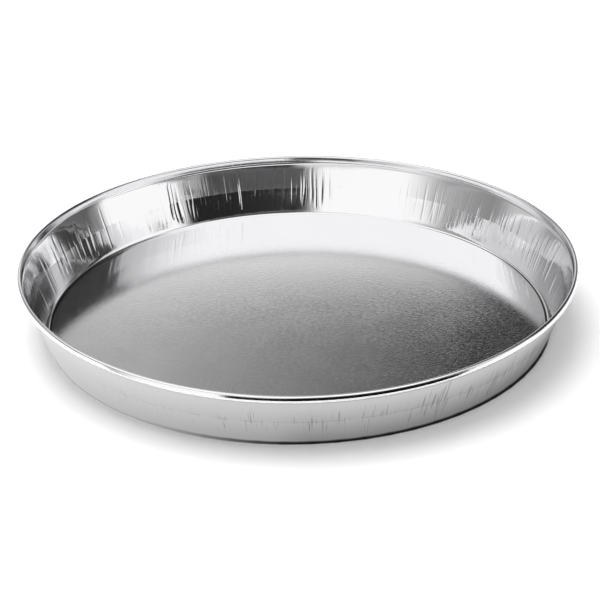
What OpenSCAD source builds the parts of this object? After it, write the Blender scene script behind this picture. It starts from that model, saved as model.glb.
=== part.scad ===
// Foil pie tin, pressed in one piece from a disc of aluminium foil.
// The origin is in the middle of the flat underside, and +Z is up. Lengths are in millimetres.

/* [Size] */
// Diameter across the outside of the rolled rim
rim_d = 228; // [180:1:280]
// Height from the table to the top of the rim
tin_h = 27.5; // [22:0.5:50]
// How far the wall leans out from the upright, in degrees
wall_flare = 18.5; // [6:0.5:30]

/* [Foil] */
// Thickness of the foil in the floor and the rim
foil = 0.2; // [0.18:0.01:0.3]
// Thickness of the wall, which the drawing thins
wall_t = 0.15; // [0.12:0.01:0.16]
// Height of the draw line, the fine ridge outside each end of the thin wall
draw_line_h = 0.1; // [0.09:0.01:0.15]

/* [Rim] */
// Outside diameter of the rolled bead
bead_d = 2.4; // [1.8:0.1:3.2]
// How far round the edge is rolled, in degrees
bead_roll = 300; // [200:5:310]
// Height of the upright collar, from the shoulder to the middle of the bead
collar_h = 2.4; // [1.5:0.1:5]
// Width of the shoulder between the wall and the collar
shoulder_w = 0.6; // [0.6:0.1:2]
// Steepest lean of the shoulder, in degrees from the upright
shoulder_lean = 50; // [45:1:80]

/* [Bottom corner] */
// Inside radius of the corner between the floor and the wall
corner_r = 0.8; // [0.6:0.1:3]

/* [Wall] */
// Height of the crease line above the table
crease_z = 12.5; // [8:0.5:15]
// How far the wall bends outwards at the crease line, in degrees
crease_bend = 1.5; // [0:0.25:4]
// Distance between neighbouring wrinkles
wrinkle_pitch = 4.4; // [3.6:0.1:8]
// Width of a wrinkle at its foot
wrinkle_w = 1.6; // [0.8:0.1:2]
// Height that the deepest wrinkle stands out from the wall
wrinkle_h = 0.35; // [0.1:0.05:0.6]

/* [Hidden] */

// Facets of a full turn in the preview, and the widest step round a bend, in degrees
turn_fn = 360;
bend_step = 10;
// Height of the plain bands of the floor and the rim, between which the wall is wrinkled
band_h = 0.6;

// Lean of the wall below and above the crease line
low_lean = wall_flare - crease_bend / 2;
up_lean = wall_flare + crease_bend / 2;

// Middle of the bead, and the foot of the collar on the middle line of the foil
bead_r = bead_d / 2;
bead_mid = [rim_d / 2 - bead_r, tin_h - bead_r];
collar_foot = bead_mid - [bead_r - foil / 2, collar_h];

// The shoulder is two equal bends, one out and one back to the upright
bend_r = shoulder_w / (cos(up_lean) + 1 - 2 * cos(shoulder_lean));
in_bend_mid = collar_foot - [bend_r, 0];
out_bend_mid = in_bend_mid + 2 * bend_r * [cos(shoulder_lean), -sin(shoulder_lean)];
wall_top = out_bend_mid - bend_r * [cos(up_lean), -sin(up_lean)];

// The middle line comes down from the shoulder to the crease line and on to the corner
crease = [wall_top[0] - (wall_top[1] - crease_z) * tan(up_lean), crease_z];
corner_mid_r = corner_r + foil / 2;
corner_z = foil + corner_r;
wall_foot_z = corner_z - corner_mid_r * sin(low_lean);
wall_foot = [crease[0] - (crease_z - wall_foot_z) * tan(low_lean), wall_foot_z];
corner_mid = [wall_foot[0] - corner_mid_r * cos(low_lean), corner_z];

// Ends of the wrinkled wall
low_end = wall_foot + band_h * [tan(low_lean), 1];
up_end = wall_top - band_h * [tan(up_lean), 1];

// Wrinkles round the wall, and their random places, heights and lengths
wrinkle_n = round(2 * PI * crease[0] / wrinkle_pitch);
pitch_a = 360 / wrinkle_n;
foot_a = wrinkle_w / 2 / crease[0] * 180 / PI;
stray = rands(-0.2, 0.2, wrinkle_n, 11);
rise = rands(0.15, 1, wrinkle_n, 12);
way = rands(-0.4, 0.6, wrinkle_n, 13);
wander = rands(-0.6, 0.6, wrinkle_n, 14);
low_share = rands(0.25, 0.9, wrinkle_n, 15);
up_share = rands(0.1, 0.8, wrinkle_n, 16);
all_share = [for (k = [1:wrinkle_n]) 1];
no_share = 0 * all_share;

// Points of the wall's section: place on the middle line, and how much of each wrinkle shows there
wall_rows = [
    [low_end, no_share],
    [wall_foot + (crease - wall_foot) * 0.4, low_share],
    [crease, all_share],
    [crease + (wall_top - crease) * 0.5, up_share],
    [up_end, no_share]
];

// Points of a bend round mid, from angle a0 to angle a1
function bend(mid, r, a0, a1) =
    let (steps = ceil(abs(a1 - a0) / bend_step))
    [for (i = [0:steps]) let (a = a0 + (a1 - a0) * i / steps) mid + r * [cos(a), sin(a)]];

// Outer and inner edge of the foil where a leaning band ends level, with the draw line on the outer one
function band_edges(place, lean) =
    let (inner = foil / 2 / cos(lean), outer = wall_t / 2 / cos(lean) + draw_line_h)
    [place + [outer, 0], place - [inner, 0]];

// Floor, bottom corner and the plain band below the wall
module base_section() {
    edges = band_edges(low_end, low_lean);
    polygon([
        [0, 0],
        each bend(corner_mid, corner_r + foil, -90, -low_lean),
        edges[0],
        edges[1],
        each bend(corner_mid, corner_r, -low_lean, -90),
        [0, foil]
    ]);
}

// Plain band above the wall, shoulder, collar and rolled bead, up the outer face and down the inner one
module rim_section() {
    edges = band_edges(up_end, up_lean);
    polygon([
        edges[0],
        each bend(out_bend_mid, bend_r - foil / 2, 180 - up_lean, 180 - shoulder_lean),
        each bend(in_bend_mid, bend_r + foil / 2, -shoulder_lean, 0),
        each bend(bead_mid, bead_r - foil, 180, 180 - bead_roll),
        each bend(bead_mid, bead_r, 180 - bead_roll, 180),
        each bend(in_bend_mid, bend_r - foil / 2, 0, -shoulder_lean),
        each bend(out_bend_mid, bend_r + foil / 2, 180 - shoulder_lean, 180 - up_lean),
        edges[1]
    ]);
}

// Ring of points round one face of the wall: each wrinkle has a foot, a crest and a foot
function wall_ring(row, face) = [
    for (k = [0:wrinkle_n - 1], part = [-1:1])
        let (
            share = row[1][k],
            lift = part == 0 ? wrinkle_h * share * rise[k] * sign(way[k]) : 0,
            shift = part == 0 ? wander[k] * share : part,
            a = (k + stray[k]) * pitch_a + shift * foot_a,
            r = row[0][0] + face * wall_t / 2 / cos(wall_flare) - lift
        )
        [r * cos(a), r * sin(a), row[0][1]]
];

// Wrinkled wall between the two plain bands, up its outer face and down its inner one
module drawn_wall() {
    ring = 3 * wrinkle_n;
    top = len(wall_rows) - 1;
    loop = 2 * (top + 1);
    points = [
        for (j = [0:top]) each wall_ring(wall_rows[j], 1),
        for (j = [top:-1:0]) each wall_ring(wall_rows[j], -1)
    ];
    faces = [
        for (j = [0:loop - 1], i = [0:ring - 1])
            let (up = (j + 1) % loop, next = (i + 1) % ring)
            [j * ring + i, up * ring + i, up * ring + next, j * ring + next]
    ];
    polyhedron(points, faces, convexity = 10);
}

module pie_tin() {
    color("silver") {
        rotate_extrude($fn = turn_fn) base_section();
        drawn_wall();
        rotate_extrude($fn = turn_fn) rim_section();
    }
}

pie_tin();
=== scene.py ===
import math

import bmesh
import bpy
from mathutils import Matrix, Vector


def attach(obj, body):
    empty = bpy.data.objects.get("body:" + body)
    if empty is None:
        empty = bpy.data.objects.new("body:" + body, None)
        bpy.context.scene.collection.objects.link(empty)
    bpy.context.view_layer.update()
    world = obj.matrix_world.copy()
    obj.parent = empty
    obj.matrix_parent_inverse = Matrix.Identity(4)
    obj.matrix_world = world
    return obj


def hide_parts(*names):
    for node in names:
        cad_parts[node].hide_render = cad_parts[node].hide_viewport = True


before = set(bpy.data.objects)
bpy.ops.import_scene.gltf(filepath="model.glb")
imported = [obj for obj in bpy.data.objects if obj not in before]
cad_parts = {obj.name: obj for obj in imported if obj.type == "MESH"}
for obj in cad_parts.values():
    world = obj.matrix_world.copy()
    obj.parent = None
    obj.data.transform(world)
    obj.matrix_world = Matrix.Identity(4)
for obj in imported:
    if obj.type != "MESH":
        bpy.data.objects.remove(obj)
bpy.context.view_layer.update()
scene = bpy.context.scene


# The camera looks down at the middle of the tin's floor from just over half a metre away, as in the
# photograph. It is turned a little, so that the tin's right side sits higher in the picture.
view_distance = 0.5602
view_elevation = math.radians(26.94)
view_roll = math.radians(-1.13)
lens_length = 79.9
lens_shift = (0.0028, 0.0162)

camera = bpy.data.objects.new("camera", bpy.data.cameras.new("camera"))
camera.data.lens = lens_length
camera.data.sensor_width = 36
camera.data.shift_x, camera.data.shift_y = lens_shift
camera.data.clip_start = 0.02
camera.data.clip_end = 20
towards_camera = Vector((0, -math.cos(view_elevation), math.sin(view_elevation)))
aim = (-towards_camera).to_track_quat("-Z", "Y").to_matrix() @ Matrix.Rotation(view_roll, 3, "Z")
camera.matrix_world = Matrix.Translation(towards_camera * view_distance) @ aim.to_4x4()
scene.collection.objects.link(camera)
scene.camera = camera


# The pie tin is one disc of thin aluminium foil, drawn over a punch into a flat floor and a flared
# wall, with its edge rolled outwards into a bead. The wall gathers into small upright wrinkles as it
# is drawn, and a crease runs round it half way up.
mm = 0.001
foil = 0.2 * mm
rim_radius = 114 * mm
tin_height = 27.5 * mm
bead_radius = 0.7 * mm
bead_face_tilt = 18
bead_face_length = 1.1 * mm
bead_curl_radius = 0.3 * mm
bead_curl_end = -190
# The collar stands this far in from the rim's radius, and its height counts from this far below the top.
collar_inset = 1.95 * mm
collar_head_drop = 1.2 * mm
collar_height = 1.7 * mm
shoulder_width = 0.5 * mm
shoulder_lean = 32
corner_radius = 0.8 * mm
crease_height = 12.5 * mm
crease_depth = 0.008 * mm
low_lean = 17.75
up_lean = 19.25
# A turn has this many steps in the wrinkled rows. A plain row keeps one in every few of them.
turn_steps = 2880
plain_step = 8
# The rim sags a little at the front and at the back, as a tin bent in handling does, by these shares of
# its height. The low line runs this many degrees to the right of the middle at the front.
front_sag = 0.105
back_sag = 0.03
sag_turn = 4

# The foil was rolled in one direction, so that a fine grain runs along it. The floor keeps the mill's
# satin finish, and the drawing die rubs the wall and the rolled rim brighter.
dull_foil = (0.93, 0.93, 0.942, 1)
bright_foil = (0.965, 0.965, 0.972, 1)
grain_heading = -14.0
clouds_per_metre = 45.0


def add_node(tree, kind, inputs=(), **settings):
    """Adds a node with its settings. inputs gives a socket, by name or number, a value or a source."""
    node = tree.nodes.new(kind)
    for name, value in settings.items():
        setattr(node, name, value)
    for name, value in dict(inputs).items():
        if isinstance(value, bpy.types.NodeSocket):
            tree.links.new(value, node.inputs[name])
        else:
            node.inputs[name].default_value = value
    return node


def calculate(tree, operation, *values):
    """Adds a Math node on numbers and sockets, and returns the socket of its result."""
    return add_node(tree, "ShaderNodeMath", enumerate(values), operation=operation).outputs[0]


def ease(tree, value, start, end, low=0.0, high=1.0):
    """Goes smoothly from low to high as the value goes from start to end."""
    return add_node(tree, "ShaderNodeMapRange", {
        "Value": value, "From Min": start, "From Max": end, "To Min": low, "To Max": high},
        interpolation_type="SMOOTHSTEP").outputs["Result"]


def blend(tree, share, first, second):
    """Goes from the first colour to the second: a Mix node has them at sockets 6 and 7, its result at 2."""
    return add_node(tree, "ShaderNodeMix", {"Factor": share, 6: first, 7: second},
                    data_type="RGBA").outputs[2]


def new_group(name, kind, inputs, outputs):
    """A node group with named sockets: returns the tree, its input node and its output node."""
    tree = bpy.data.node_groups.new(name, kind)
    for side, sockets in (("INPUT", inputs), ("OUTPUT", outputs)):
        for label, socket, value in sockets:
            made = tree.interface.new_socket(label, in_out=side, socket_type="NodeSocket" + socket)
            if value is not None:
                made.default_value = value
    return tree, tree.nodes.new("NodeGroupInput"), tree.nodes.new("NodeGroupOutput")


grain, grain_in, grain_out = new_group(
    "rolled_grain", "ShaderNodeTree",
    [("Grain Width", "Float", 0.4 * mm), ("Grain Length", "Float", 2.0 * mm), ("Heading", "Float", 0.0)],
    [("Height", "Float", None), ("Cloud", "Float", None)],
)
place = add_node(grain, "ShaderNodeTexCoord").outputs["Object"]
heading = calculate(grain, "RADIANS", grain_in.outputs["Heading"])
turned = add_node(grain, "ShaderNodeVectorRotate", {"Vector": place, "Angle": heading},
                  rotation_type="Z_AXIS")
per_length = calculate(grain, "DIVIDE", 1.0, grain_in.outputs["Grain Length"])
per_width = calculate(grain, "DIVIDE", 1.0, grain_in.outputs["Grain Width"])
per_size = add_node(grain, "ShaderNodeCombineXYZ", {"X": per_length, "Y": per_width, "Z": per_length})
stretched = add_node(grain, "ShaderNodeVectorMath", {0: turned.outputs[0], 1: per_size.outputs[0]},
                     operation="MULTIPLY")
fine = add_node(grain, "ShaderNodeTexNoise", {
    "Vector": stretched.outputs[0], "Scale": 1.0, "Detail": 3.0, "Roughness": 0.55})
cloud = add_node(grain, "ShaderNodeTexNoise", {"Vector": place, "Scale": clouds_per_metre, "Detail": 2.0})
grain.links.new(fine.outputs["Fac"], grain_out.inputs["Height"])
grain.links.new(cloud.outputs["Fac"], grain_out.inputs["Cloud"])

# Painted shade: the fold at the floor's edge is too narrow to light, so a mask darkens the foil's colour in
# it.
# It fades out at this many half widths from the middle. The fold is painted dark at the right and at the
# far left only, and each pair says where it opens and where it is shut, as the sideways share of the radius.
crevice_radius = 102.78 * mm
crevice_shade_colour = (0.02, 0.02, 0.02, 1)
crevice_fade = 1.8
shut_right = (0.5, 0.72)
shut_left = (-0.78, -0.9)

crevice, crevice_in, crevice_out = new_group(
    "painted_crevice_shade", "ShaderNodeTree",
    [("Radius", "Float", 103 * mm), ("Half Width", "Float", 0.3 * mm), ("Tone", "Color", None)],
    [("Tone", "Color", None)],
)
object_place = add_node(crevice, "ShaderNodeTexCoord").outputs["Object"]
place = add_node(crevice, "ShaderNodeSeparateXYZ", {0: object_place}).outputs
squares = [calculate(crevice, "MULTIPLY", place[axis], place[axis]) for axis in ("X", "Y")]
reach = calculate(crevice, "SQRT", calculate(crevice, "ADD", *squares))
away = calculate(crevice, "ABSOLUTE", calculate(crevice, "SUBTRACT", reach, crevice_in.outputs["Radius"]))
half_width = crevice_in.outputs["Half Width"]
faded = calculate(crevice, "MULTIPLY", half_width, crevice_fade)
dark = add_node(crevice, "ShaderNodeMapRange", {
    "Value": away, "From Min": half_width, "From Max": faded,
    "To Min": 1.0, "To Max": 0.0}).outputs["Result"]
sideways = calculate(crevice, "DIVIDE", place["X"], reach)
shut = calculate(crevice, "ADD", ease(crevice, sideways, *shut_right),
                 ease(crevice, sideways, *reversed(shut_left), 1.0, 0.0))
dark = calculate(crevice, "MULTIPLY", dark, shut)
crevice.links.new(blend(crevice, dark, crevice_in.outputs["Tone"], crevice_shade_colour), crevice_out.inputs["Tone"])


def new_foil(name, grain_sizes, grain_depth, roughness, roughness_spread, rough_grain):
    """A foil material whose grain and clouding come from the shared group, with its own values."""
    material = bpy.data.materials.new(name)
    material.use_nodes = True
    tree = material.node_tree
    shader = tree.nodes["Principled BSDF"]
    shader.inputs["Metallic"].default_value = 1.0
    rolled = add_node(tree, "ShaderNodeGroup", grain_sizes, node_tree=grain).outputs
    tone = blend(tree, rolled["Cloud"], dull_foil, bright_foil)
    # The tone darkens to painted shade in the fold at the floor's edge.
    shaded = add_node(tree, "ShaderNodeGroup", {"Radius": crevice_radius, "Tone": tone}, node_tree=crevice)
    tree.links.new(shaded.outputs["Tone"], shader.inputs["Base Color"])
    clouding = add_node(tree, "ShaderNodeMapRange", {
        "Value": rolled["Cloud"], "From Min": 0.3, "From Max": 0.7,
        "To Min": roughness - roughness_spread, "To Max": roughness + roughness_spread}).outputs["Result"]
    centred = calculate(tree, "SUBTRACT", rolled["Height"], 0.5)
    rough = calculate(tree, "MULTIPLY_ADD", centred, rough_grain, clouding)
    tree.links.new(rough, shader.inputs["Roughness"])
    bump = add_node(tree, "ShaderNodeBump", {"Height": rolled["Height"], "Distance": grain_depth})
    tree.links.new(bump.outputs["Normal"], shader.inputs["Normal"])
    return material


floor_foil = new_foil(
    "satin_foil", {"Grain Width": 0.7 * mm, "Grain Length": 1.7 * mm, "Heading": grain_heading},
    grain_depth=0.014 * mm, roughness=0.12, roughness_spread=0.012, rough_grain=0.30)
wall_foil = new_foil(
    "drawn_foil", {"Grain Width": 0.3 * mm, "Grain Length": 0.8 * mm, "Heading": grain_heading},
    grain_depth=0.004 * mm, roughness=0.06, roughness_spread=0.015, rough_grain=0.0)


def rim_sag(tree, cosine, sine, front, back, turn):
    """How far the wall sags at a turn, as a share of its height. The floor stays flat."""
    turn = calculate(tree, "RADIANS", turn)
    to_the_right = calculate(tree, "MULTIPLY", cosine, calculate(tree, "SINE", turn))
    to_the_back = calculate(tree, "MULTIPLY", sine, calculate(tree, "COSINE", turn))
    facing = calculate(tree, "SUBTRACT", to_the_right, to_the_back)
    middle = calculate(tree, "MULTIPLY", calculate(tree, "ADD", front, back), 0.5)
    lean = calculate(tree, "MULTIPLY", calculate(tree, "SUBTRACT", front, back), 0.5)
    squared = calculate(tree, "MULTIPLY", facing, facing)
    return calculate(tree, "MULTIPLY", squared, calculate(tree, "MULTIPLY_ADD", facing, lean, middle))


def wall_noise(tree, outwards, around, height, per_metre, detail):
    """Noise on the wall. around and per_metre say how quickly it changes round the turn and down."""
    round_turn = add_node(tree, "ShaderNodeVectorMath", {0: outwards, "Scale": around}, operation="SCALE")
    down = add_node(tree, "ShaderNodeCombineXYZ", {"Z": calculate(tree, "MULTIPLY", height, per_metre)})
    place = add_node(tree, "ShaderNodeVectorMath", {0: round_turn.outputs[0], 1: down.outputs[0]},
                     operation="ADD")
    noise = add_node(tree, "ShaderNodeTexNoise", {"Vector": place.outputs[0], "Scale": 1.0, "Detail": detail})
    return noise.outputs["Fac"]


# The die leaves fine upright lines down the wall, closer together than its wrinkles.
line_depth = 0.008 * mm
tree = wall_foil.node_tree
shader = tree.nodes["Principled BSDF"]
object_place = add_node(tree, "ShaderNodeTexCoord").outputs["Object"]
place = add_node(tree, "ShaderNodeSeparateXYZ", {0: object_place}).outputs
flat = add_node(tree, "ShaderNodeCombineXYZ", {"X": place["X"], "Y": place["Y"]})
outwards = add_node(tree, "ShaderNodeVectorMath", {0: flat.outputs[0]}, operation="NORMALIZE").outputs[0]
die_lines = wall_noise(tree, outwards, around=180.0, height=place["Z"], per_metre=130.0, detail=4.0)
rolled_normal = shader.inputs["Normal"].links[0].from_socket
line_bump = add_node(tree, "ShaderNodeBump", {
    "Height": die_lines, "Distance": line_depth, "Normal": rolled_normal})
tree.links.new(line_bump.outputs["Normal"], shader.inputs["Normal"])

# Short dark upright marks and a thin broken dark line darken the foil's colour along the crease. The short
# marks thin out by this much per metre from it, and crowd together in places. Only the front half is marked,
# and not its left end: the last two pairs say where the marks fade, as shares of the radius to the back and
# to the right.
mark_tone = (0.2, 0.2, 0.21, 1)
dark_mark_strength = 0.5
dark_mark_fall = -19.0
dark_mark_crowding = 0.7
dark_mark_edges = (0.56, 0.70)
line_shade = 0.24
line_half_width = (0.12 * mm, 0.3 * mm)
line_gaps = (0.38, 0.56)
marks_end_behind = (-0.2, 0.0)
marks_start_left = (-0.75, -0.45)

turn_parts = add_node(tree, "ShaderNodeSeparateXYZ", {0: outwards}).outputs
sag = rim_sag(tree, turn_parts["X"], turn_parts["Y"], front_sag, back_sag, sag_turn)
level = calculate(tree, "DIVIDE", place["Z"], calculate(tree, "SUBTRACT", 1.0, sag))
from_crease = calculate(tree, "ABSOLUTE", calculate(tree, "SUBTRACT", level, crease_height))
dark_mark_noise = wall_noise(tree, outwards, around=230.0, height=level, per_metre=90.0, detail=1.0)
crowd_noise = wall_noise(tree, outwards, around=14.0, height=level, per_metre=0.0, detail=2.0)
crowd = calculate(tree, "MULTIPLY", calculate(tree, "SUBTRACT", crowd_noise, 0.5), dark_mark_crowding)
near_crease = calculate(tree, "MULTIPLY_ADD", from_crease, dark_mark_fall, dark_mark_noise)
dark_marks = ease(tree, calculate(tree, "ADD", crowd, near_crease), *dark_mark_edges)
thin_line = calculate(tree, "MULTIPLY", ease(tree, from_crease, *line_half_width, 1.0, 0.0),
                      ease(tree, crowd_noise, *line_gaps))
marks = calculate(tree, "MAXIMUM", calculate(tree, "MULTIPLY", dark_marks, dark_mark_strength),
                  calculate(tree, "MULTIPLY", thin_line, line_shade))
marks = calculate(tree, "MULTIPLY", marks, ease(tree, turn_parts["Y"], *marks_end_behind, 1.0, 0.0))
marks = calculate(tree, "MULTIPLY", marks, ease(tree, turn_parts["X"], *marks_start_left))
plain_tone = shader.inputs["Base Color"].links[0].from_socket
tree.links.new(blend(tree, marks, plain_tone, mark_tone), shader.inputs["Base Color"])

# The tin's section, from the middle of the floor out to the end of the curl, is a row of points at
# (radius, height). The shoulder is two equal bends, from the wall's lean out to its own and back upright.
low_slope = math.radians(low_lean)
up_slope = math.radians(up_lean)
shoulder_slope = math.radians(shoulder_lean)
bend_span = (math.cos(up_slope) - math.cos(shoulder_slope)) + (1 - math.cos(shoulder_slope))
shoulder_radius = shoulder_width / bend_span
bend_out = shoulder_radius * math.cos(shoulder_slope)
bend_down = shoulder_radius * math.sin(shoulder_slope)
collar_foot = (rim_radius - collar_inset, tin_height - collar_head_drop - collar_height)
in_bend = (collar_foot[0] - shoulder_radius, collar_foot[1])
step_over = (in_bend[0] + bend_out, in_bend[1] - bend_down)
out_bend = (step_over[0] + bend_out, step_over[1] - bend_down)
wall_top = (out_bend[0] - shoulder_radius * math.cos(up_slope),
            out_bend[1] + shoulder_radius * math.sin(up_slope))
crease_radius = wall_top[0] - (wall_top[1] - crease_height) * math.tan(up_slope)
# The corner's bend meets the lower wall where the wall's line is one bend radius from its middle.
corner_middle_height = foil / 2 + corner_radius
corner_middle = (crease_radius - (crease_height - corner_middle_height) * math.tan(low_slope)
                 - corner_radius / math.cos(low_slope), corner_middle_height)
wall_foot = (corner_middle[0] + corner_radius * math.cos(low_slope),
             corner_middle[1] - corner_radius * math.sin(low_slope))


def bend(centre, radius, start, end, steps):
    """Rows of the section along a bend, after its first row. The angles are in degrees."""
    angles = [math.radians(start + (end - start) * step / steps) for step in range(1, steps + 1)]
    return [(centre[0] + radius * math.cos(a), centre[1] + radius * math.sin(a)) for a in angles]


def wall_radius(height):
    """Radius of the drawn wall at a height: it leans out a little more above the crease than below."""
    lean = low_lean if height < crease_height else up_lean
    return crease_radius + (height - crease_height) * math.tan(math.radians(lean))


wall_heights = [h * mm for h in (2.0, 3.0, 4.2, 5.8, 7.6, 9.8, 12.25, 12.5, 12.75, 15.4, 18.0, 20.8)]
# The bead goes over its top, down a flat face that looks a little upwards, and curls in under it.
tilt = math.radians(bead_face_tilt)
bead_middle = (collar_foot[0] + bead_radius, tin_height - foil / 2 - bead_radius)
face_foot = (bead_middle[0] + bead_radius * math.cos(tilt) + bead_face_length * math.sin(tilt),
             bead_middle[1] + bead_radius * math.sin(tilt) - bead_face_length * math.cos(tilt))
face_shares = (0.08, 0.92, 1.0)
curl_middle = (face_foot[0] - bead_curl_radius * math.cos(tilt),
               face_foot[1] - bead_curl_radius * math.sin(tilt))

# The floor ends in a low lip and a narrow groove at the wall's foot: (distance in from it, height) in mm.
floor_edge = [(4.0, 0.10), (3.0, 0.11), (2.3, 0.16), (1.9, 0.20), (1.6, 0.20), (1.4, 0.17), (1.25, 0.10)]
section_rows = [(0, foil / 2)]
section_rows += [(wall_foot[0] - inwards * mm, height * mm) for inwards, height in floor_edge]
section_rows += [(corner_middle[0], foil / 2)]
section_rows += bend(corner_middle, corner_radius, -90, -low_lean, 5)
first_wrinkled = len(section_rows)
section_rows += [(wall_radius(h), h) for h in wall_heights]
last_wrinkled = len(section_rows) - 1
section_rows += [wall_top]
section_rows += bend(out_bend, shoulder_radius, 180 - up_lean, 180 - shoulder_lean, 3)
section_rows += bend(in_bend, shoulder_radius, -shoulder_lean, 0, 3)
section_rows += [(bead_middle[0] - bead_radius, bead_middle[1])]
section_rows += bend(bead_middle, bead_radius, 180, bead_face_tilt, 7)
face_head = section_rows[-1]
section_rows += [tuple(a + (b - a) * share for a, b in zip(face_head, face_foot))
                 for share in face_shares]
section_rows += bend(curl_middle, bead_curl_radius, bead_face_tilt, bead_curl_end, 6)

section = bpy.data.meshes.new("tin_section")
section.from_pydata([(r, 0, h) for r, h in section_rows],
                    [(i, i + 1) for i in range(len(section_rows) - 1)], [])
wrinkled = [first_wrinkled <= i <= last_wrinkled for i in range(len(section_rows))]
row_facts = {
    "wall_share": [(h - wall_foot[1]) / (wall_top[1] - wall_foot[1]) if w else 0.0
                   for w, (r, h) in zip(wrinkled, section_rows)],
    "turn_step": [1.0 if w else plain_step for w in wrinkled],
    "creased": [1.0 if w and abs(h - crease_height) < foil / 2 else 0.0
                for w, (r, h) in zip(wrinkled, section_rows)],
}
section.materials.append(wall_foil)
for name, values in row_facts.items():
    section.attributes.new(name, "FLOAT", "POINT").data.foreach_set("value", values)

# One ring of wrinkles: each is a narrow fold with its own place, width, height and length, which it
# draws between two values. The third number tells the draws apart.
fold_middle = (0.36, 0.64, 1)
fold_reach = (0.10, 0.26, 2)
fold_foot = (0.04, 0.26, 3)
fold_head = (0.72, 1.10, 4)
fold_strength = (0.1, 1.0, 5)
fold_slant = (-0.3, 0.3, 6)
# A fold grows over the first share of the wall above its foot, and fades over the last one below its head.
grow_share = 0.12
fade_share = 0.35

pleats, pleats_in, pleats_out = new_group(
    "wrinkle_ring", "GeometryNodeTree",
    [("Turn", "Float", 0.0), ("Wall Share", "Float", 0.0), ("Wrinkles", "Int", 150),
     ("Height", "Float", 0.3 * mm), ("Seed", "Int", 1)],
    [("Rise", "Float", None)],
)
whole = calculate(pleats, "MULTIPLY", pleats_in.outputs["Turn"], pleats_in.outputs["Wrinkles"])
number = calculate(pleats, "FLOOR", whole)
wrinkle_id = calculate(pleats, "FLOORED_MODULO", number, pleats_in.outputs["Wrinkles"])


def each_wrinkle(low, high, which_draw):
    """A value that each wrinkle draws for itself, the same at every point of it."""
    seed = calculate(pleats, "ADD", pleats_in.outputs["Seed"], which_draw)
    return add_node(pleats, "FunctionNodeRandomValue", {2: low, 3: high, "ID": wrinkle_id, "Seed": seed},
                    data_type="FLOAT").outputs[1]


share = pleats_in.outputs["Wall Share"]
above_middle = calculate(pleats, "SUBTRACT", share, 0.5)
slant = calculate(pleats, "MULTIPLY", each_wrinkle(*fold_slant), above_middle)
middle = calculate(pleats, "ADD", each_wrinkle(*fold_middle), slant)
across = calculate(pleats, "SUBTRACT", calculate(pleats, "SUBTRACT", whole, number), middle)
narrower = calculate(pleats, "MULTIPLY_ADD", share, -0.5, 1.15)
reach = calculate(pleats, "MULTIPLY", each_wrinkle(*fold_reach), narrower)
offset = calculate(pleats, "DIVIDE", calculate(pleats, "ABSOLUTE", across), reach)
offset = calculate(pleats, "MINIMUM", offset, 1.0)
hump = calculate(pleats, "MULTIPLY_ADD", calculate(pleats, "MULTIPLY", offset, offset), -1.0, 1.0)
fold = calculate(pleats, "POWER", hump, 2.0)
foot_share = each_wrinkle(*fold_foot)
head_share = each_wrinkle(*fold_head)
grow = ease(pleats, share, foot_share, calculate(pleats, "ADD", foot_share, grow_share))
fade = ease(pleats, share, calculate(pleats, "SUBTRACT", head_share, fade_share), head_share, 1.0, 0.0)
strength = calculate(pleats, "MULTIPLY", each_wrinkle(*fold_strength), pleats_in.outputs["Height"])
length = calculate(pleats, "MULTIPLY", grow, fade)
rise = calculate(pleats, "MULTIPLY", calculate(pleats, "MULTIPLY", fold, length), strength)
pleats.links.new(rise, pleats_out.inputs["Rise"])

# The whole tin: a flat grid of rows and steps is wrapped round the axis on the section's rows.
draw, draw_in, draw_out = new_group(
    "drawn_tin", "GeometryNodeTree",
    [("Section", "Geometry", None), ("Section Rows", "Int", 40), ("Turn Steps", "Int", 2048),
     ("Wall Flare", "Float", 17.0), ("Crease Depth", "Float", 0.05 * mm),
     ("Wrinkles", "Int", 150), ("Wrinkle Height", "Float", 0.3 * mm),
     ("Fine Wrinkles", "Int", 330), ("Fine Wrinkle Height", "Float", 0.1 * mm),
     ("Wrinkle Sway", "Float", 0.002), ("Ripple Height", "Float", 0.2 * mm),
     ("Floor Height", "Float", 0.5 * mm), ("Front Sag", "Float", 0.0), ("Back Sag", "Float", 0.0),
     ("Sag Turn", "Float", 0.0), ("Seed", "Int", 7),
     ("Wall Foil", "Material", None), ("Floor Foil", "Material", None)],
    [("Tin", "Geometry", None)],
)
turn_count = draw_in.outputs["Turn Steps"]
columns = calculate(draw, "ADD", turn_count, 1)
grid = add_node(draw, "GeometryNodeMeshGrid", {
    "Size X": 1.0, "Size Y": 1.0, "Vertices X": draw_in.outputs["Section Rows"], "Vertices Y": columns})
index = add_node(draw, "GeometryNodeInputIndex").outputs[0]
row = calculate(draw, "FLOOR", calculate(draw, "DIVIDE", calculate(draw, "ADD", index, 0.5), columns))
column = calculate(draw, "SUBTRACT", index, calculate(draw, "MULTIPLY", row, columns))
position = add_node(draw, "GeometryNodeInputPosition").outputs[0]


def row_fact(kind, value):
    """Looks a value up on the section's row."""
    return add_node(draw, "GeometryNodeSampleIndex", {
        "Geometry": draw_in.outputs["Section"], "Value": value, "Index": row}, data_type=kind).outputs[0]


def row_number(name):
    """A named number of the section's row."""
    named = add_node(draw, "GeometryNodeInputNamedAttribute", {"Name": name}, data_type="FLOAT")
    return row_fact("FLOAT", named.outputs[0])


row_place = add_node(draw, "ShaderNodeSeparateXYZ", {0: row_fact("FLOAT_VECTOR", position)}).outputs
share = row_number("wall_share")
step = row_number("turn_step")
# In a plain row the steps between two kept ones fall back on the first of them, and are merged below.
whole_steps = calculate(draw, "FLOOR", calculate(draw, "DIVIDE", calculate(draw, "ADD", column, 0.01), step))
stepped = calculate(draw, "MULTIPLY", whole_steps, step)
turn = calculate(draw, "DIVIDE", calculate(draw, "MODULO", stepped, turn_count), turn_count)
angle = calculate(draw, "MULTIPLY", turn, math.tau)
cosine = calculate(draw, "COSINE", angle)
sine = calculate(draw, "SINE", angle)


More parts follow.
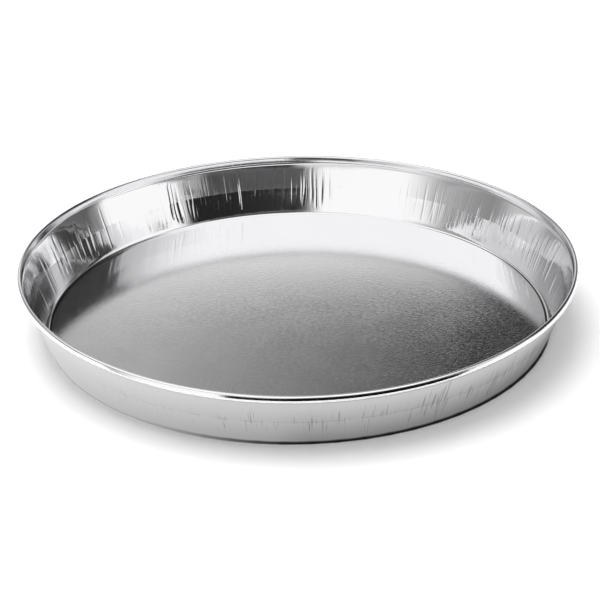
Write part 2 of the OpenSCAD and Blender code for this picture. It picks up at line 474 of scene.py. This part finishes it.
def ring_noise(around, up, detail=1.0):
    """Noise that closes on itself round the tin: around and up say how quickly it changes."""
    place = add_node(draw, "ShaderNodeCombineXYZ", {
        "X": calculate(draw, "MULTIPLY", cosine, around), "Y": calculate(draw, "MULTIPLY", sine, around),
        "Z": calculate(draw, "MULTIPLY_ADD", share, up, draw_in.outputs["Seed"])})
    noise = add_node(draw, "ShaderNodeTexNoise", {"Vector": place.outputs[0], "Scale": 1.0, "Detail": detail})
    return calculate(draw, "SUBTRACT", noise.outputs["Fac"], 0.5)


swayed = calculate(draw, "MULTIPLY_ADD", ring_noise(14.0, 1.6), draw_in.outputs["Wrinkle Sway"], turn)
rings = []
for count, height, seed in (("Wrinkles", "Wrinkle Height", 0), ("Fine Wrinkles", "Fine Wrinkle Height", 20)):
    ring = add_node(draw, "GeometryNodeGroup", {
        "Turn": swayed, "Wall Share": share, "Wrinkles": draw_in.outputs[count],
        "Height": draw_in.outputs[height], "Seed": calculate(draw, "ADD", draw_in.outputs["Seed"], seed)},
        node_tree=pleats)
    rings.append(ring.outputs["Rise"])
# The left end has hardly any of the fine ones.
rings[1] = calculate(draw, "MULTIPLY", rings[1], ease(draw, cosine, -0.72, -0.52, 0.12, 1.0))
# How strong the wrinkles are round the turn, as (share of the turn, strength): from the right side
# through the back, the left and the front.
crowds = [(0.0, 1.0), (0.05, 1.0), (0.09, 0.6), (0.13, 0.55), (0.17, 0.35), (0.20, 0.10), (0.225, 0.25),
          (0.245, 1.0), (0.262, 0.4), (0.285, 0.85), (0.315, 1.0), (0.335, 1.0), (0.355, 0.3), (0.385, 0.12),
          (0.40, 0.75), (0.45, 0.65), (0.50, 0.5), (0.60, 0.3), (0.75, 0.35), (0.90, 0.35), (1.0, 1.0)]
crowd_curve = add_node(draw, "ShaderNodeFloatCurve", {"Value": turn})
points = crowd_curve.mapping.curves[0].points
while len(points) < len(crowds):
    points.new(0.5, 0.5)
for point, (where, strength) in zip(points, crowds):
    point.location = (where, strength)
crowd_curve.mapping.update()
uneven = ease(draw, ring_noise(30.0, 0.3), -0.15, 0.1, 0.45, 1.0)
crowding = calculate(draw, "MULTIPLY", crowd_curve.outputs[0], uneven)
folds = calculate(draw, "MULTIPLY", calculate(draw, "ADD", *rings), crowding)
ripple = calculate(draw, "MULTIPLY", ring_noise(20.0, 0.5, 1.5), draw_in.outputs["Ripple Height"])
# The folds and the ripple die away towards the wall's foot and its top. The crease is broken in places.
off_the_foot = ease(draw, share, 0.03, 0.12)
wall_only = calculate(draw, "MULTIPLY", off_the_foot, ease(draw, share, 0.84, 0.97, 1.0, 0.0))
raised = calculate(draw, "MULTIPLY", calculate(draw, "ADD", folds, ripple), wall_only)
broken = ease(draw, ring_noise(40.0, 0.0), -0.12, 0.12)
creased = calculate(draw, "MULTIPLY", row_number("creased"), broken)
crease = calculate(draw, "MULTIPLY", creased, draw_in.outputs["Crease Depth"])
inwards = calculate(draw, "ADD", raised, crease)
flare = calculate(draw, "RADIANS", draw_in.outputs["Wall Flare"])
towards_axis = calculate(draw, "MULTIPLY", inwards, calculate(draw, "COSINE", flare))
upwards = calculate(draw, "MULTIPLY", inwards, calculate(draw, "SINE", flare))
radius = calculate(draw, "SUBTRACT", row_place["X"], towards_axis)
height = calculate(draw, "ADD", row_place["Z"], upwards)
sag = rim_sag(draw, cosine, sine, draw_in.outputs["Front Sag"], draw_in.outputs["Back Sag"],
              draw_in.outputs["Sag Turn"])
above_floor = calculate(draw, "SUBTRACT", height, foil / 2)
height = calculate(draw, "SUBTRACT", height, calculate(draw, "MULTIPLY", above_floor, sag))
wrapped = add_node(draw, "ShaderNodeCombineXYZ", {
    "X": calculate(draw, "MULTIPLY", radius, cosine), "Y": calculate(draw, "MULTIPLY", radius, sine),
    "Z": height})
placed = add_node(draw, "GeometryNodeSetPosition", {
    "Geometry": grid.outputs["Mesh"], "Position": wrapped.outputs[0]})
joined = add_node(draw, "GeometryNodeMergeByDistance", {
    "Geometry": placed.outputs[0], "Distance": 0.002 * mm})
smooth = add_node(draw, "GeometryNodeSetShadeSmooth", {"Geometry": joined.outputs[0]})
realized = add_node(draw, "GeometryNodeRealizeInstances", {"Geometry": smooth.outputs[0]})
face_height = add_node(draw, "ShaderNodeSeparateXYZ", {0: position}).outputs["Z"]
on_floor = add_node(draw, "FunctionNodeCompare", {0: face_height, 1: draw_in.outputs["Floor Height"]},
                    data_type="FLOAT", operation="LESS_THAN")
finish_wall = add_node(draw, "GeometryNodeSetMaterial", {
    "Geometry": realized.outputs[0], "Material": draw_in.outputs["Wall Foil"]})
finish_floor = add_node(draw, "GeometryNodeSetMaterial", {
    "Geometry": finish_wall.outputs[0], "Selection": on_floor.outputs[0],
    "Material": draw_in.outputs["Floor Foil"]})
draw.links.new(finish_floor.outputs[0], draw_out.inputs["Tin"])

tin = bpy.data.objects.new("drawn_foil_tin", section)
scene.collection.objects.link(tin)
drawing = tin.modifiers.new("drawing", "NODES")
drawing.node_group = draw
tin_values = {
    "Section Rows": len(section_rows),
    "Turn Steps": turn_steps,
    "Wall Flare": (low_lean + up_lean) / 2,
    "Crease Depth": crease_depth,
    "Wrinkles": 153,
    "Wrinkle Height": 0.20 * mm,
    "Fine Wrinkles": 307,
    "Fine Wrinkle Height": 0.13 * mm,
    "Wrinkle Sway": 0.004,
    "Ripple Height": 0.08 * mm,
    "Floor Height": 0.12 * mm,
    "Front Sag": front_sag,
    "Back Sag": back_sag,
    "Sag Turn": sag_turn,
    "Seed": 7,
    "Wall Foil": wall_foil,
    "Floor Foil": floor_foil,
}
for item in draw.interface.items_tree:
    if item.item_type == "SOCKET" and item.in_out == "INPUT" and item.name in tin_values:
        drawing[item.identifier] = tin_values[item.name]
thickness = tin.modifiers.new("thickness", "SOLIDIFY")
thickness.thickness = foil
thickness.offset = 0
tin_mesh = bpy.data.meshes.new_from_object(tin.evaluated_get(bpy.context.evaluated_depsgraph_get()))
tin.modifiers.clear()
tin.data = tin_mesh
face_slots = [tin_mesh.materials[face.material_index].name for face in tin_mesh.polygons]
tin_mesh.materials.clear()
for foil_finish in (wall_foil, floor_foil):
    tin_mesh.materials.append(foil_finish)
shell = bmesh.new()
shell.from_mesh(tin_mesh)
for face in shell.faces:
    face.material_index = 1 if face_slots[face.index] == floor_foil.name else 0
bmesh.ops.recalc_face_normals(shell, faces=shell.faces)
shell.to_mesh(tin_mesh)
shell.free()
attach(tin, "root")
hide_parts("pie_tin")


# The table is a plain white board that keeps the tin's soft shadow. The camera and the metal also see
# it glow a little, and more with the distance, to make up for the key light, which fades far out.
table_half = 4.0
table_drop = 0.05 * mm
table_colour = (0.93, 0.93, 0.935, 1)
glow_distances = (0.35, 1.2)
glow_strengths = (0.12, 1.0)


def light_path(tree):
    """1 for the camera and for what mirrors and clear things show, 0 for the light that falls on things."""
    path = add_node(tree, "ShaderNodeLightPath").outputs
    seen = calculate(tree, "MAXIMUM", path["Is Camera Ray"], path["Is Glossy Ray"])
    return calculate(tree, "MAXIMUM", seen, path["Is Transmission Ray"])


table_mesh = bpy.data.meshes.new("table")
table_mesh.from_pydata([(x * table_half, y * table_half, -table_drop)
                        for x, y in ((-1, -1), (1, -1), (1, 1), (-1, 1))], [], [(0, 1, 2, 3)])
table = bpy.data.objects.new("table", table_mesh)
scene.collection.objects.link(table)
table_paint = bpy.data.materials.new("white_table")
table_paint.use_nodes = True
tree = table_paint.node_tree
tree.nodes.remove(tree.nodes["Principled BSDF"])
matt = add_node(tree, "ShaderNodeBsdfDiffuse", {"Color": table_colour})
spot = add_node(tree, "ShaderNodeTexCoord").outputs["Object"]
distance = add_node(tree, "ShaderNodeVectorMath", {0: spot}, operation="LENGTH").outputs["Value"]
whiter = ease(tree, distance, *glow_distances, *glow_strengths)
glow = add_node(tree, "ShaderNodeEmission", {
    "Color": (1, 1, 1, 1), "Strength": calculate(tree, "MULTIPLY", light_path(tree), whiter)})
both = add_node(tree, "ShaderNodeAddShader", {0: matt.outputs[0], 1: glow.outputs[0]})
tree.links.new(both.outputs[0], tree.nodes["Material Output"].inputs["Surface"])
table_mesh.materials.append(table_paint)

# The surround is a white room, as the camera and the metal see it. It lights the table at half of that.
world = bpy.data.worlds.new("white_surround")
world.use_nodes = True
scene.world = world
tree = world.node_tree
room_light = add_node(tree, "ShaderNodeBackground", {"Color": (1, 1, 1, 1), "Strength": 0.5})
white_wall = add_node(tree, "ShaderNodeBackground", {"Color": (1, 1, 1, 1), "Strength": 1.0})
choice = add_node(tree, "ShaderNodeMixShader", {
    0: light_path(tree), 1: room_light.outputs[0], 2: white_wall.outputs[0]})
tree.links.new(choice.outputs[0], tree.nodes["World Output"].inputs["Surface"])

# The key light is one large soft disc, almost straight above and a little to the left. The metal
# doesn't mirror it.
key_size = 1.4
key_energy = 21
key_distance = 1.7
key_direction = Vector((-0.21, 0.04, 0.95)).normalized()

key = bpy.data.objects.new("key_light", bpy.data.lights.new("key_light", "AREA"))
key.data.shape = "DISK"
key.data.size = key_size
key.data.energy = key_energy
key_turn = key_direction.to_track_quat("Z", "Y").to_matrix().to_4x4()
key.matrix_world = Matrix.Translation(key_direction * key_distance) @ key_turn
key.visible_glossy = False
scene.collection.objects.link(key)


# Panels and flags stand round the set for the foil to mirror. They are seen in the metal alone, and
# each is a patch of a wide dome with soft edges. The bearings go clockwise from the camera's side.
dome_radius = 8.0
dome_spacing = 0.05
patch_steps = 40
panels = {
    # name: bearings and heights as (from, to, first fade, last fade) in degrees, then the shades at
    # the lower two corners and the upper two. The first are nearest.
    "black_flag": ((-8, 54, 12, 10), (-8, 15.6, 2, 1), (0.03, 0.015, 0.03, 0.015)),
    "black_flag_lip": ((-8, 48, 12, 18), (15.6, 20.5, 1.6, 2), (0.075, 0.03, 0.10, 0.14)),
    "black_flag_high": ((-1, 66, 10, 16), (19.8, 30.6, 1.6, 2.4), (0.02, 0.05, 0.02, 0.05)),
    "front_haze": ((-75, 62, 30, 20), (20, 36, 3, 6), (0.58, 0.80, 0.62, 0.84)),
    "left_grey": ((-104, -67, 16, 20), (-4, 12, 2, 4), (0.22, 0.42, 0.22, 0.42)),
    "left_haze": ((-150, -62, 24, 26), (11, 34, 4, 6), (0.24, 0.36, 0.26, 0.40)),
    "right_grey": ((48, 66, 10, 10), (16, 24, 2, 3), (0.25, 0.35, 0.45, 0.40)),
    "back_right_flag": ((90, 171, 10, 3), (23.5, 38, 2, 4), (0.03, 0.03, 0.02, 0.03)),
    "back_right_top": ((120, 171, 9, 3), (36, 60, 4, 6), (0.04, 0.03, 0.04, 0.03)),
    "right_haze": ((60, 126, 14, 1), (23, 56, 3, 10), (0.62, 0.35, 0.90, 0.45)),
    "back_right_grey": ((101, 168, 8, 4), (-4, 23.5, 2, 2), (0.11, 0.20, 0.11, 0.20)),
    "back_glow": ((160, 178, 8, 8), (20, 25.3, 2, 1.4), (0.95, 0.95, 0.90, 0.90)),
    "back_screen": ((170, 187, 0.5, 0.1), (25.4, 31, 2.2, 0.1), (0.0, 0.38, 0.0, 0.30)),
    "back_left_screen": ((187, 220, 0.1, 16), (25.4, 44, 2.2, 6), (0.38, 0.42, 0.28, 0.62)),
    "back_screen_top": ((170, 187, 0.5, 0.1), (31, 60, 0.1, 8), (0.0, 0.30, 0.0, 0.26)),
    "back_low": ((96, 262, 6, 6), (-6, 20, 2, 4), (0.30, 0.55, 0.30, 0.60)),
}


def fade_between(tree, value, start, end, first, last):
    """1 from start to end, falling to 0 outside it over the first and the last fade."""
    fade_in = ease(tree, value, start - first / 2, start + first / 2)
    return calculate(tree, "MULTIPLY", fade_in, ease(tree, value, end - last / 2, end + last / 2, 1.0, 0.0))


def soft_patch(name, bearings, heights, place, shades, hidden_from=("camera", "diffuse", "shadow")):
    """A surface with soft edges and a light of its own. place turns a bearing and a height into a point."""
    mesh = bpy.data.meshes.new(name)
    lows = (bearings[0] - bearings[2] / 2, heights[0] - heights[2] / 2)
    highs = (bearings[1] + bearings[3] / 2, heights[1] + heights[3] / 2)
    spots = [[low + (high - low) * step / patch_steps for step in range(patch_steps + 1)]
             for low, high in zip(lows, highs)]
    corners = [(bearing, height) for bearing in spots[0] for height in spots[1]]
    wide = patch_steps + 1
    mesh.from_pydata([place(*corner) for corner in corners], [],
                     [(i * wide + j, (i + 1) * wide + j, (i + 1) * wide + j + 1, i * wide + j + 1)
                      for i in range(patch_steps) for j in range(patch_steps)])
    layer = mesh.uv_layers.new(name="patch")
    for loop in mesh.loops:
        layer.data[loop.index].uv = corners[loop.vertex_index]
    patch = bpy.data.objects.new(name, mesh)
    scene.collection.objects.link(patch)
    paint = bpy.data.materials.new(name)
    paint.use_nodes = True
    tree = paint.node_tree
    tree.nodes.remove(tree.nodes["Principled BSDF"])
    patch_map = add_node(tree, "ShaderNodeUVMap", uv_map="patch")
    spot = add_node(tree, "ShaderNodeSeparateXYZ", {0: patch_map.outputs[0]}).outputs
    cover = calculate(tree, "MULTIPLY", fade_between(tree, spot["X"], *bearings),
                      fade_between(tree, spot["Y"], *heights))
    ends = [add_node(tree, "ShaderNodeMapRange", {
        "Value": spot["X"], "From Min": bearings[0], "From Max": bearings[1],
        "To Min": first, "To Max": last}).outputs[0] for first, last in (shades[:2], shades[2:])]
    shade = add_node(tree, "ShaderNodeMapRange", {
        "Value": spot["Y"], "From Min": heights[0], "From Max": heights[1],
        "To Min": ends[0], "To Max": ends[1]}).outputs[0]
    lit = add_node(tree, "ShaderNodeEmission", {"Strength": shade})
    clear = add_node(tree, "ShaderNodeBsdfTransparent")
    mixed = add_node(tree, "ShaderNodeMixShader", {0: cover, 1: clear.outputs[0], 2: lit.outputs[0]})
    tree.links.new(mixed.outputs[0], tree.nodes["Material Output"].inputs["Surface"])
    mesh.materials.append(paint)
    for ray in hidden_from + ("transmission", "volume_scatter"):
        setattr(patch, "visible_" + ray, False)


def on_dome(radius):
    """Places a bearing and a height, in degrees, on a dome of the radius."""
    def place(bearing, height):
        turn, up = math.radians(bearing), math.radians(height)
        return Vector((math.sin(turn) * math.cos(up), -math.cos(turn) * math.cos(up), math.sin(up))) * radius
    return place


def on_table(lift):
    """Places a bearing in degrees and a distance from the axis in millimetres just over the table."""
    def place(bearing, reach):
        turn = math.radians(bearing)
        return math.sin(turn) * reach * mm, -math.cos(turn) * reach * mm, lift * mm
    return place


for step, (name, (bearings, heights, shades)) in enumerate(panels.items()):
    soft_patch(name, bearings, heights, on_dome(dome_radius + dome_spacing * step), shades)

# Painted shade on the table at the tin's foot, seen in the metal alone: rings that give what the wall mirrors
# there, paler on the left, dark close in on the right, and in between at the back.
# The distances are from the axis in millimetres, and each ring lies a little higher than the last.
ring_spacing = 0.02
foot_lift = 0.06
foot_reach = (103.5, 119, 1, 4)
foot_shades = {
    "foot_shade_left": ((-130, 2, 20, 8), (0.98, 0.27, 1.0, 0.64)),
    "foot_shade_right": ((-2, 130, 8, 20), (0.20, 0.005, 0.66, 0.80)),
    "foot_shade_back": ((126, 234, 16, 16), (0.20, 0.50, 0.70, 0.85)),
}
for step, (name, (bearings, shades)) in enumerate(foot_shades.items()):
    soft_patch(name, bearings, foot_reach, on_table(foot_lift + ring_spacing * step), shades)

# Painted contact shadow: where the corner meets the table hardly any light gets in, so a thin dark ring lies
# there, weaker on the left, which the camera sees as well as the metal. Each has its bearings, its outer edge
# and its shade.
contact_lift = 0.11
contact_inner_edge = 101.5
contact_fades = (0.4, 0.8)
contact_shadows = {
    "contact_shadow": ((-20, 150, 40, 40), 104.7, 0.01),
    "contact_shadow_left": ((-120, -20, 40, 40), 104.0, 0.30),
}
for step, (name, (bearings, outer_edge, shade)) in enumerate(contact_shadows.items()):
    soft_patch(name, bearings, (contact_inner_edge, outer_edge, *contact_fades),
               on_table(contact_lift + ring_spacing * step), (shade,) * 4, hidden_from=("diffuse", "shadow"))

# A low black strip stands close in front, under the far flags' view: the rolled edge mirrors it as a line.
strip_distance = 0.45
strip_shade = 0.008
soft_patch("bead_flag", (-24, 76, 5, 10), (5.0, 10.6, 0.6, 0.6), on_dome(strip_distance), (strip_shade,) * 4)


# A black skirt stands just outside the wall, so that less light reaches the table at the tin's foot.
# The camera and the metal don't see it, and it thins out upwards.
skirt_gap = 0.5 * mm
skirt_foot = 0.8 * mm
skirt_thin_from = 3.5 * mm
skirt_thinnest = 0.12
skirt_colour = (0.02, 0.02, 0.02, 1)
skirt_steps = 128

skirt_mesh = bpy.data.meshes.new("shade_skirt")
skirt_rows = [(wall_foot[0] + skirt_gap, skirt_foot), (wall_top[0] + skirt_gap, wall_top[1])]
skirt_turns = [math.tau * i / skirt_steps for i in range(skirt_steps)]
skirt_mesh.from_pydata([(r * math.cos(a), r * math.sin(a), h)
                        for r, h in skirt_rows for a in skirt_turns], [],
                       [(i, (i + 1) % skirt_steps, skirt_steps + (i + 1) % skirt_steps, skirt_steps + i)
                        for i in range(skirt_steps)])
skirt = bpy.data.objects.new("shade_skirt", skirt_mesh)
scene.collection.objects.link(skirt)
cloth = bpy.data.materials.new("black_cloth")
cloth.use_nodes = True
tree = cloth.node_tree
shader = tree.nodes["Principled BSDF"]
shader.inputs["Base Color"].default_value = skirt_colour
object_place = add_node(tree, "ShaderNodeTexCoord").outputs["Object"]
up = add_node(tree, "ShaderNodeSeparateXYZ", {0: object_place}).outputs["Z"]
tree.links.new(ease(tree, up, skirt_foot, skirt_thin_from, 1.0, skirt_thinnest), shader.inputs["Alpha"])
skirt_mesh.materials.append(cloth)
for ray in ("camera", "glossy", "transmission", "volume_scatter"):
    setattr(skirt, "visible_" + ray, False)

scene.view_settings.view_transform = "Standard"
